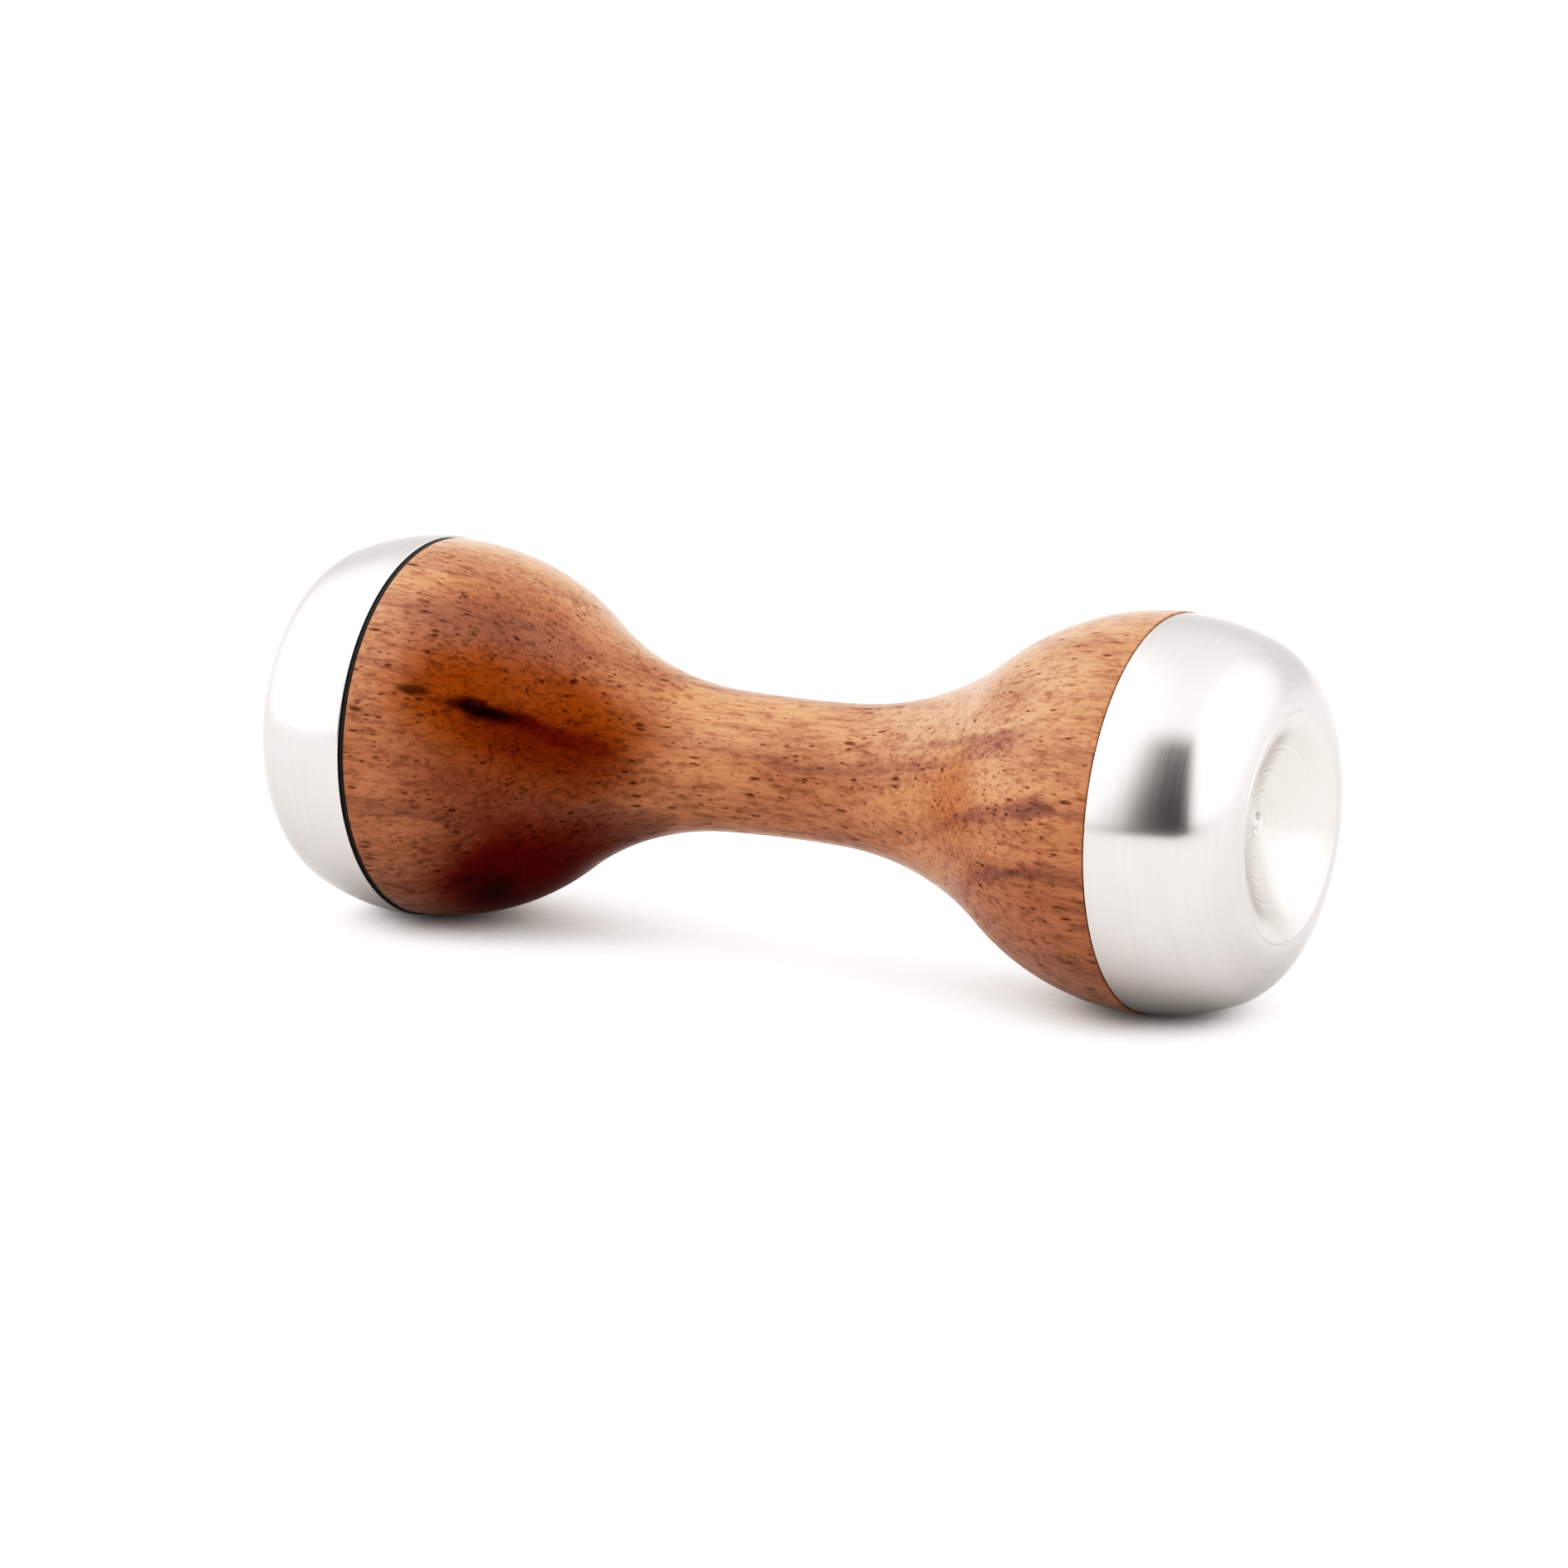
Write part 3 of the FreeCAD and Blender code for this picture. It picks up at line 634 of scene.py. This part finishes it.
def walnut():
    """Oiled walnut: its figure, darkened along the fibres and in the pores, with a soft shine."""
    material, graph, shader = new_material("oiled_walnut")
    point = position_mm(graph)
    fibres = graph.noise(graph.squeezed(point, 0.06), 4.5, 4.0, 0.65)
    streaks = graph.noise(graph.squeezed(point, 0.12), 1.8, 3.0, 0.6)
    fleck = graph.noise(graph.squeezed(point, 0.4), 1.6, 3.0, 0.65)
    big_pores = walnut_pores(graph, point, BIG_PORES)
    small_pores = walnut_pores(graph, point, SMALL_PORES)

    colour = walnut_figure(graph, point)
    for amount, tint in (
        (graph.ramp(fibres, 0.42, 0.72, 0.0, FIBRE_STRENGTH), GRAIN_TINT),
        (graph.ramp(streaks, 0.48, 0.68, 0.0, STREAK_STRENGTH), GRAIN_TINT),
        (graph.ramp(fleck, 0.48, 0.66, 0.0, FLECK_STRENGTH), GRAIN_TINT),
        (graph.times(small_pores, SMALL_PORE_STRENGTH), PORE_TINT),
        (graph.times(big_pores, BIG_PORE_STRENGTH), PORE_TINT),
    ):
        colour = graph.vector("MULTIPLY", colour, graph.mix(amount, WHITE, tint))
    graph.plug(colour, shader.inputs["Base Color"])

    # Pores are dips, fibres fine ridges
    dips = graph.math("ADD", graph.times(big_pores, -1.0), graph.times(small_pores, -0.6))
    relief = graph.math("MULTIPLY_ADD", fibres, 0.5, dips)
    graph.plug(graph.bump(relief, 0.02 * MM, 0.5), shader.inputs["Normal"])
    graph.plug(graph.math("MULTIPLY_ADD", fibres, 0.12, 0.28), shader.inputs["Roughness"])

    # The oil has sunk deeper into the dark wood, which shines less
    brightness = graph.node("ShaderNodeRGBToBW", inputs={0: colour})
    shine = graph.ramp(brightness, 0.015, 0.14, 0.02, 0.30)
    graph.plug(shine, shader.inputs["Specular IOR Level"])
    return material


# Metals and rubber

GRAIN_RINGS_PER_MM = 9.0
TOOL_MARKS_PER_MM = 1.7
GRAIN_SWIRL = 1.2

STEEL_LIGHT = srgb(168, 164, 162)
STEEL_SHADE = srgb(164, 160, 158)
STEEL_GRAIN = srgb(146, 143, 141)
STEEL_TOOL_MARK = srgb(150, 147, 145)
STEEL_SPECK = srgb(176, 173, 170)
STEEL_DISH_PAINTED_LIGHT = srgb(180, 174, 168)
STEEL_GRAZING = srgb(222, 222, 222)
STEEL_ANISOTROPY = 0.85
QUARTER_TURN = 0.25
STEEL_RELIEF = 0.004 * MM

BRASS_LIGHT = srgb(214, 178, 110)
BRASS_DARK = srgb(186, 146, 84)
BRASS_ROUGHNESS = 0.24
STUD_LIGHT = srgb(168, 168, 170)
STUD_DARK = srgb(132, 131, 133)
STUD_ROUGHNESS = 0.28
MACHINED_RELIEF = 0.01 * MM

RUBBER = srgb(8, 5, 4)
RUBBER_DUST = srgb(22, 15, 12)
RUBBER_SHINE = 0.2
RUBBER_RELIEF = 0.01 * MM


def turned_grain(graph, point, rings_per_mm):
    """Fine marks that run round the X axis, as a cutting tool and a polishing pad leave them."""
    along, across, up = graph.split(point)
    radius = graph.length(0.0, across, up)
    profile = graph.times(graph.math("SUBTRACT", along, radius), rings_per_mm)
    around = [graph.times(graph.math("DIVIDE", side, radius), GRAIN_SWIRL)
              for side in (across, up)]
    return graph.noise(graph.join(profile, *around), 1.0, 3.0, 0.6)


def in_dish(graph, point):
    """1 inside the thumb cap's dish and 0 elsewhere."""
    along, across, up = graph.split(point)
    rim = DISH_RIM_RADIUS / MM
    face = cap_high.x / MM
    within = graph.ramp(graph.length(0.0, across, up), rim + 0.05, rim - 0.1)
    return graph.times(within, graph.ramp(along, face - 5.0, face - 4.5))


def stainless():
    """Satin steel: fine turned grain, a few coarser tool marks, and a more matt dish whose paler
    colour is painted light.
    """
    material, graph, shader = new_material("satin_stainless")
    point = position_mm(graph)
    grain = turned_grain(graph, point, GRAIN_RINGS_PER_MM)
    marks = turned_grain(graph, point, TOOL_MARKS_PER_MM)
    speckle = graph.noise(point, 5.0, 3.0, 0.7)
    cloud = graph.noise(point, 0.1, 2.0)
    dish = in_dish(graph, point)

    tone = graph.mix(graph.ramp(cloud, 0.3, 0.7), STEEL_LIGHT, STEEL_SHADE)
    tone = graph.mix(graph.ramp(grain, 0.3, 0.75, 0.0, 0.3), tone, STEEL_GRAIN)
    tone = graph.mix(graph.ramp(marks, 0.45, 0.75, 0.0, 0.22), tone, STEEL_TOOL_MARK)
    tone = graph.mix(graph.ramp(speckle, 0.55, 0.8, 0.0, 0.3), tone, STEEL_SPECK)
    # Painted light: the dish's colour is lifted so the shade on its inner walls reads lighter
    tone = graph.mix(graph.times(dish, 0.5), tone, STEEL_DISH_PAINTED_LIGHT)
    graph.plug(tone, shader.inputs["Base Color"])
    shader.inputs["Specular Tint"].default_value = STEEL_GRAZING
    shader.inputs["Metallic"].default_value = 1.0

    rough = graph.math("MULTIPLY_ADD", marks, 0.04, 0.16)
    rough = graph.math("MULTIPLY_ADD", dish, 0.08, rough)
    rough = graph.math("MULTIPLY_ADD", grain, 0.10, rough)
    graph.plug(rough, shader.inputs["Roughness"])

    # The grain smears reflections across the turning direction
    shader.inputs["Anisotropic"].default_value = STEEL_ANISOTROPY
    shader.inputs["Anisotropic Rotation"].default_value = QUARTER_TURN
    tangent = graph.node("ShaderNodeTangent", {"direction_type": "RADIAL", "axis": "X"})
    graph.plug(tangent, shader.inputs["Tangent"])
    relief = graph.math("MULTIPLY_ADD", speckle, 0.25, grain)
    graph.plug(graph.bump(relief, STEEL_RELIEF, 0.6), shader.inputs["Normal"])
    return material


def turned_metal(name, light, dark, roughness):
    """Machined metal of the hidden hardware: turned grain under soft stains."""
    material, graph, shader = new_material(name)
    point = position_mm(graph)
    grain = turned_grain(graph, point, GRAIN_RINGS_PER_MM)
    stain = graph.noise(point, 0.6, 3.0)
    graph.plug(graph.mix(graph.ramp(stain, 0.35, 0.7), light, dark), shader.inputs["Base Color"])
    shader.inputs["Metallic"].default_value = 1.0
    graph.plug(graph.math("MULTIPLY_ADD", grain, 0.15, roughness), shader.inputs["Roughness"])
    graph.plug(graph.bump(grain, MACHINED_RELIEF, 0.5), shader.inputs["Normal"])
    return material


def black_rubber():
    """Nearly black rubber with a little pale dust on it."""
    material, graph, shader = new_material("black_rubber")
    dust = graph.noise(position_mm(graph), 2.4, 4.0, 0.6)
    tone = graph.mix(graph.ramp(dust, 0.5, 0.75), RUBBER, RUBBER_DUST)
    graph.plug(tone, shader.inputs["Base Color"])
    graph.plug(graph.math("MULTIPLY_ADD", dust, 0.2, 0.5), shader.inputs["Roughness"])
    shader.inputs["Specular IOR Level"].default_value = RUBBER_SHINE
    graph.plug(graph.bump(dust, RUBBER_RELIEF, 0.4), shader.inputs["Normal"])
    return material


# Pieces


def add_piece(name, outline, node, material, ring=False):
    """Turn a visible piece, put it on the body of the CAD node it stands for, and dress it."""
    piece = lathe(name, outline, ring)
    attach(piece, frame["nodes"][node]["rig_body"])
    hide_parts(node)
    piece.data.materials.append(material)
    return piece


def dress(node, material):
    """Give a carried-over CAD node its material."""
    slots = frame["nodes"][node].data.materials
    slots.clear()
    slots.append(material)


steel = stainless()
brass = turned_metal("machined_brass", BRASS_LIGHT, BRASS_DARK, BRASS_ROUGHNESS)
stud_steel = turned_metal("machined_steel", STUD_LIGHT, STUD_DARK, STUD_ROUGHNESS)

add_piece("turned_handle", handle_outline(), "wood_handle", walnut())
add_piece("base_steel", base_outline(), "tamping_base", steel)
dished_cap = add_piece("cap_steel", thumb_cap_outline(), "thumb_cap", steel)
cut_crater(dished_cap)
add_piece("seam_ring", gasket_outline(), "base_gasket", black_rubber(), ring=True)
for insert in ("base_insert", "cap_insert"):
    dress(insert, brass)
for stud in ("base_stud", "cap_stud"):
    dress(stud, stud_steel)


# Studio: a white light tent on a white sweep, open toward the camera, with a brighter panel
# on each side. Angles are in degrees; an azimuth runs from -Y toward +X.

Panel = namedtuple("Panel", "azimuth elevation glow")

PANELS = (Panel(-64, 34, 2.7), Panel(98, 24, 2.3))
PANEL_EDGE = 60
PANEL_CORE = 10
TENT_GLOW = 1.52
TOP_GLOW = 2.0
BACKDROP_GLOW = 1.3
LIGHT_COLOUR = (1.0, 0.99, 0.98, 1.0)

OPENING_GLOW = 0.0
OPENING_SIDES = (-3, 47)
OPENING_TOP = 59
OPENING_SOFTNESS = 5

# The dim gap under the front hem: the middle of each soft side, and how far it fades from there

HEM_SIDES = (-30, 105)
HEM_HALF_FADES = (20, 25)
HEM_HEIGHT = 6
HEM_SHADE = 0.6

FLOOR_SIZE = 12.0
FLOOR_DARK = (0.73, 0.72, 0.715, 1.0)
FLOOR_LIGHT = (0.77, 0.76, 0.755, 1.0)
PAPER_GRAINS_PER_METRE = 900

CAMERA_AZIMUTH = 28.14
CAMERA_ELEVATION = 13.16
CAMERA_DISTANCE = 0.6127
CAMERA_AIM = Vector((-0.0006, -0.0007, -0.0016))
LENS_MM = 138.3
SENSOR_MM = 36.0

# Print: deep darks, lifted mid tones, whites kept; each pair is a level and how it is shown

TONE_CURVE = (
    (0.012, 0.003),
    (0.03, 0.014),
    (0.09, 0.07),
    (0.18, 0.18),
    (0.40, 0.53),
    (0.65, 0.82),
    (0.88, 0.97),
)


def direction_to(azimuth, elevation):
    """Unit vector from the object toward an azimuth and elevation in degrees."""
    turn, rise = math.radians(azimuth), math.radians(elevation)
    return Vector((math.sin(turn) * math.cos(rise), -math.cos(turn) * math.cos(rise),
                   math.sin(rise)))


def angle_ramp(graph, angle, low, high):
    """A smooth step from 0 to 1 as an angle goes from low to high degrees."""
    return graph.ramp(angle, math.radians(low), math.radians(high))


def tent_glow(graph, direction, up):
    """Light from the tent's walls, its brighter top and the two round soft panels."""
    glow = 0.0
    for panel in PANELS:
        nearness = graph.dot(direction, direction_to(panel.azimuth, panel.elevation))
        light = graph.ramp(nearness, math.cos(math.radians(PANEL_EDGE)),
                           math.cos(math.radians(PANEL_CORE)), 0.0, panel.glow)
        glow = graph.math("ADD", glow, light)
    return graph.math("ADD", glow, graph.ramp(up, 0.3, 0.9, TENT_GLOW, TOP_GLOW))


def opening_share(graph, azimuth, elevation):
    """1 in the tent's opening, with soft sides and top."""
    left, right = OPENING_SIDES
    soft = OPENING_SOFTNESS
    share = graph.times(angle_ramp(graph, azimuth, left - soft, left + soft),
                        angle_ramp(graph, azimuth, right + soft, right - soft))
    top = angle_ramp(graph, elevation, OPENING_TOP + 2 * soft, OPENING_TOP - 2 * soft)
    return graph.times(share, top)


def hem_share(graph, azimuth, elevation):
    """1 in the dim gap where the tent's front hem meets the sweep."""
    left, right = HEM_SIDES
    left_fade, right_fade = HEM_HALF_FADES
    share = graph.times(angle_ramp(graph, azimuth, left - left_fade, left + left_fade),
                        angle_ramp(graph, azimuth, right + right_fade, right - right_fade))
    return graph.times(share, angle_ramp(graph, elevation, HEM_HEIGHT, 0))


def studio_world():
    """The tent, drawn on the world around the object."""
    world = bpy.data.worlds.new("light_tent")
    bpy.context.scene.world = world
    world.use_nodes = True
    tree = world.node_tree
    graph = Graph(tree)
    background = tree.nodes["Background"]
    direction = graph.node("ShaderNodeTexCoord", output=0)
    x, y, z = graph.split(direction)
    azimuth = graph.math("ARCTAN2", x, graph.times(y, -1.0))
    elevation = graph.math("ARCSINE", z)

    glow = tent_glow(graph, direction, z)
    opening = opening_share(graph, azimuth, elevation)
    glow = graph.math("MULTIPLY_ADD", opening, graph.math("SUBTRACT", OPENING_GLOW, glow), glow)
    hem = hem_share(graph, azimuth, elevation)
    glow = graph.times(glow, graph.math("MULTIPLY_ADD", hem, -HEM_SHADE, 1.0))

    # Behind the object the sweep is over-exposed, so the camera sees plain white
    seen = graph.node("ShaderNodeLightPath", output=0)
    strength = graph.math("MULTIPLY_ADD", seen, graph.math("SUBTRACT", BACKDROP_GLOW, glow), glow)
    graph.plug(strength, background.inputs["Strength"])
    background.inputs["Color"].default_value = LIGHT_COLOUR


def add_floor():
    """A wide level floor of matt white board, under the lowest point of the tamper."""
    half = FLOOR_SIZE / 2
    corners = [(-half, -half), (half, -half), (half, half), (-half, half)]
    mesh = bpy.data.meshes.new("white_floor")
    mesh.from_pydata([(x, y, FLOOR_LEVEL) for x, y in corners], [], [(0, 1, 2, 3)])
    floor = bpy.data.objects.new("white_floor", mesh)
    bpy.context.scene.collection.objects.link(floor)
    material, graph, shader = new_material("white_board")
    paper = graph.noise(position(graph), PAPER_GRAINS_PER_METRE, 3.0, 0.6)
    tone = graph.mix(graph.ramp(paper, 0.3, 0.7), FLOOR_DARK, FLOOR_LIGHT)
    graph.plug(tone, shader.inputs["Base Color"])
    shader.inputs["Roughness"].default_value = 0.9
    shader.inputs["Specular IOR Level"].default_value = 0.0
    mesh.materials.append(material)


def add_camera():
    """A long lens in front, a little above and to the right."""
    lens = bpy.data.cameras.new("camera")
    lens.lens = LENS_MM
    lens.sensor_width = SENSOR_MM
    lens.clip_start = 0.01
    lens.clip_end = 50.0
    camera = bpy.data.objects.new("camera", lens)
    bpy.context.scene.collection.objects.link(camera)
    back = direction_to(CAMERA_AZIMUTH, CAMERA_ELEVATION)
    camera.location = CAMERA_AIM + back * CAMERA_DISTANCE
    camera.rotation_mode = "QUATERNION"
    camera.rotation_quaternion = (-back).to_track_quat("-Z", "Y")
    bpy.context.scene.camera = camera


def develop():
    """Show the picture through the print's tone curve."""
    look = bpy.context.scene.view_settings
    look.view_transform = "Standard"
    look.use_curve_mapping = True
    curve = look.curve_mapping.curves[3]
    for level, shown in TONE_CURVE:
        curve.points.new(level, shown)
    look.curve_mapping.update()


studio_world()
add_floor()
add_camera()
develop()
